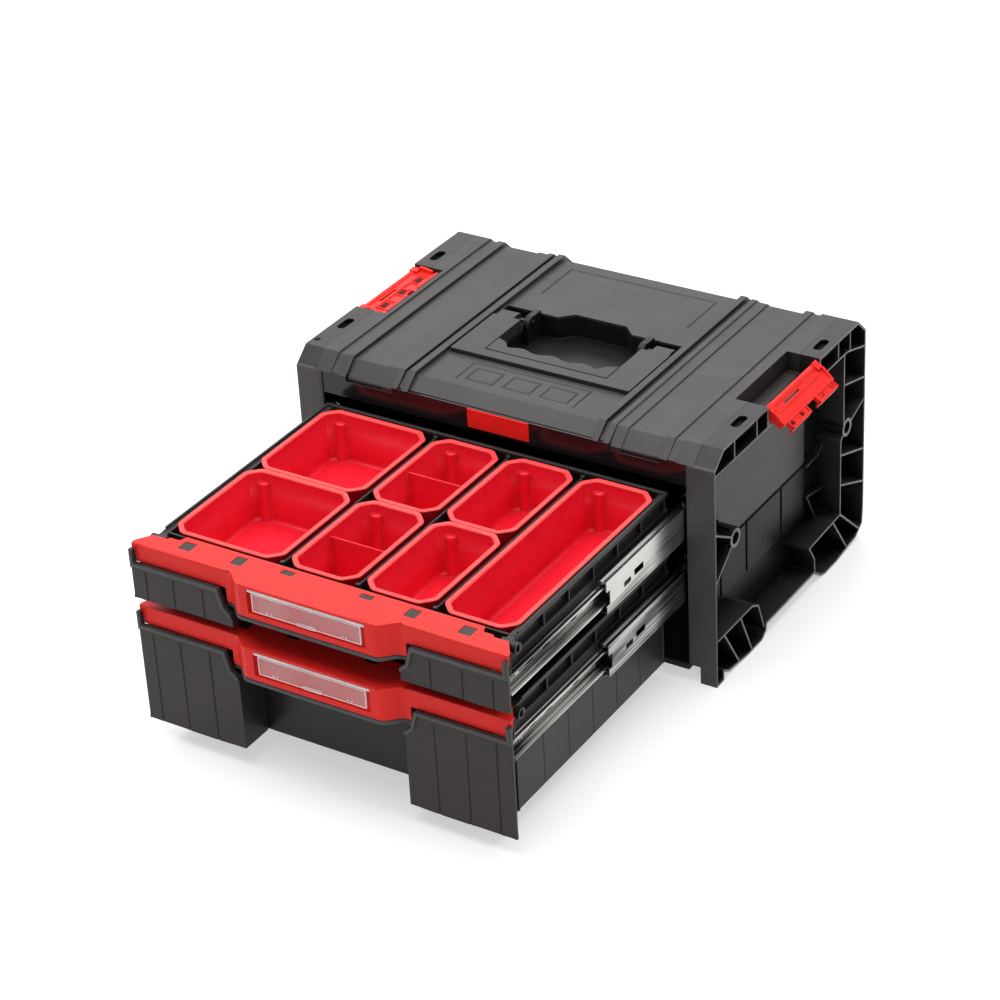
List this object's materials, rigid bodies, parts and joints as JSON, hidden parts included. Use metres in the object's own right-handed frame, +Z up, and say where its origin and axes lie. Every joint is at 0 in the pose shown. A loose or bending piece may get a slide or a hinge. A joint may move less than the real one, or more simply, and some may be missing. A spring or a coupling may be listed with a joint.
{
  "type": "portable tool box with drawers",
  "caption": "Portable stackable tool box with two telescopic drawers, a top carry handle, side latches and lift-out bins.",
  "frame": {"origin": "middle of the bottom of the box's outline with both drawers pulled out and the right latch open, on the floor; the casing's middle plane is at x = -11.16 mm", "axes": "+X to the box's right seen from the front, +Y to its back, +Z up; the drawers open towards -Y"},
  "size_m": [0.4724, 0.619, 0.244],
  "materials": {
    "shell": "fine grained, satin",
    "fascia": "glossy",
    "tray": "fine grained, satin",
    "red": "satin",
    "rail": "zinc plated",
    "steel": "bright",
    "window": "clear, glossy"
  },
  "bodies": {
    "casing": {"top_shell": "shell", "handle_housing": "shell", "right_side_panel": "shell", "left_side_panel": "shell", "right_side_rim": "shell", "left_side_rim": "shell", "right_tube_bosses": "shell", "left_tube_bosses": "shell", "back_panel": "shell", "base_panel": "shell", "front_crossbar": "fascia", "badge_plate": "red", "handle_pins": "steel", "latch_pins": "steel", "upper_right_outer_rail": "rail", "upper_left_outer_rail": "rail", "lower_right_outer_rail": "rail", "lower_left_outer_rail": "rail", "casing_rail_screws": "steel"},
    "handle": {"carry_handle": "shell", "handle_grip": "shell"},
    "right_latch": {"right_latch": "red"},
    "left_latch": {"left_latch": "red"},
    "upper_drawer": {"upper_tray": "tray", "upper_drawer_front": "tray", "upper_trim_pegs": "tray", "upper_trim": "red", "upper_right_inner_rail": "rail", "upper_left_inner_rail": "rail", "upper_rail_screws": "steel", "upper_bumpers": "shell"},
    "upper_right_middle": {"upper_right_middle_rail": "rail", "upper_right_ball_cages": "steel"},
    "upper_left_middle": {"upper_left_middle_rail": "rail", "upper_left_ball_cages": "steel"},
    "upper_window": {"upper_label_window": "window"},
    "lower_drawer": {"lower_tray": "tray", "lower_drawer_front": "tray", "lower_trim_pegs": "tray", "lower_trim": "red", "lower_right_inner_rail": "rail", "lower_left_inner_rail": "rail", "lower_rail_screws": "steel", "lower_bumpers": "shell"},
    "lower_right_middle": {"lower_right_middle_rail": "rail", "lower_right_ball_cages": "steel"},
    "lower_left_middle": {"lower_left_middle_rail": "rail", "lower_left_ball_cages": "steel"},
    "lower_window": {"lower_label_window": "window"},
    "wide_bin_rear": {"wide_bin_rear": "red"},
    "wide_bin_front": {"wide_bin_front": "red"},
    "split_bin_rear": {"split_bin_rear": "red"},
    "split_bin_front": {"split_bin_front": "red"},
    "plain_bin_rear": {"plain_bin_rear": "red"},
    "plain_bin_front": {"plain_bin_front": "red"},
    "long_bin": {"long_bin": "red"},
    "left_divider": {"left_divider": "tray"},
    "middle_divider": {"middle_divider": "tray"},
    "right_divider": {"right_divider": "tray"}
  },
  "joints": [
    {"name": "handle_hinge", "type": "hinge", "parent": "casing", "child": "handle", "pos_m": [-0.01116, 0.1665, 0.2366], "axis": [-1, 0, 0], "range_deg": [0, 90]},
    {"name": "right_latch_hinge", "type": "hinge", "parent": "casing", "child": "right_latch", "pos_m": [0.21044, 0.1595, 0.2376], "axis": [0, -1, 0], "range_deg": [0, 212]},
    {"name": "left_latch_hinge", "type": "hinge", "parent": "casing", "child": "left_latch", "pos_m": [-0.23276, 0.1595, 0.2376], "axis": [0, 1, 0], "range_deg": [-212, 0]},
    {"name": "upper_drawer_slide", "type": "slide", "parent": "casing", "child": "upper_drawer", "axis": [0, -1, 0], "range_m": [-0.303, 0]},
    {"name": "upper_right_middle_slide", "type": "slide", "parent": "casing", "child": "upper_right_middle", "axis": [0, -1, 0], "range_m": [-0.1515, 0]},
    {"name": "upper_left_middle_slide", "type": "slide", "parent": "casing", "child": "upper_left_middle", "axis": [0, -1, 0], "range_m": [-0.1515, 0]},
    {"name": "upper_window_hinge", "type": "hinge", "parent": "upper_drawer", "child": "upper_window", "pos_m": [-0.01116, -0.3079, 0.1994], "axis": [-1, 0, 0], "range_deg": [0, 100]},
    {"name": "lower_drawer_slide", "type": "slide", "parent": "casing", "child": "lower_drawer", "axis": [0, -1, 0], "range_m": [-0.303, 0]},
    {"name": "lower_right_middle_slide", "type": "slide", "parent": "casing", "child": "lower_right_middle", "axis": [0, -1, 0], "range_m": [-0.1515, 0]},
    {"name": "lower_left_middle_slide", "type": "slide", "parent": "casing", "child": "lower_left_middle", "axis": [0, -1, 0], "range_m": [-0.1515, 0]},
    {"name": "lower_window_hinge", "type": "hinge", "parent": "lower_drawer", "child": "lower_window", "pos_m": [-0.01116, -0.3079, 0.1344], "axis": [-1, 0, 0], "range_deg": [0, 100]},
    {"name": "wide_bin_rear_lift", "type": "slide", "parent": "upper_drawer", "child": "wide_bin_rear", "axis": [0, 0, 1], "range_m": [0, 0.12]},
    {"name": "wide_bin_front_lift", "type": "slide", "parent": "upper_drawer", "child": "wide_bin_front", "axis": [0, 0, 1], "range_m": [0, 0.12]},
    {"name": "split_bin_rear_lift", "type": "slide", "parent": "upper_drawer", "child": "split_bin_rear", "axis": [0, 0, 1], "range_m": [0, 0.12]},
    {"name": "split_bin_front_lift", "type": "slide", "parent": "upper_drawer", "child": "split_bin_front", "axis": [0, 0, 1], "range_m": [0, 0.12]},
    {"name": "plain_bin_rear_lift", "type": "slide", "parent": "upper_drawer", "child": "plain_bin_rear", "axis": [0, 0, 1], "range_m": [0, 0.12]},
    {"name": "plain_bin_front_lift", "type": "slide", "parent": "upper_drawer", "child": "plain_bin_front", "axis": [0, 0, 1], "range_m": [0, 0.12]},
    {"name": "long_bin_lift", "type": "slide", "parent": "upper_drawer", "child": "long_bin", "axis": [0, 0, 1], "range_m": [0, 0.12]},
    {"name": "left_divider_lift", "type": "slide", "parent": "upper_drawer", "child": "left_divider", "axis": [0, 0, 1], "range_m": [0, 0.12]},
    {"name": "middle_divider_lift", "type": "slide", "parent": "upper_drawer", "child": "middle_divider", "axis": [0, 0, 1], "range_m": [0, 0.12]},
    {"name": "right_divider_lift", "type": "slide", "parent": "upper_drawer", "child": "right_divider", "axis": [0, 0, 1], "range_m": [0, 0.12]}
  ],
  "couplings": [
    {"joint": "upper_right_middle_slide", "follows": "upper_drawer_slide", "ratio": 0.5},
    {"joint": "upper_left_middle_slide", "follows": "upper_drawer_slide", "ratio": 0.5},
    {"joint": "lower_right_middle_slide", "follows": "lower_drawer_slide", "ratio": 0.5},
    {"joint": "lower_left_middle_slide", "follows": "lower_drawer_slide", "ratio": 0.5}
  ]
}
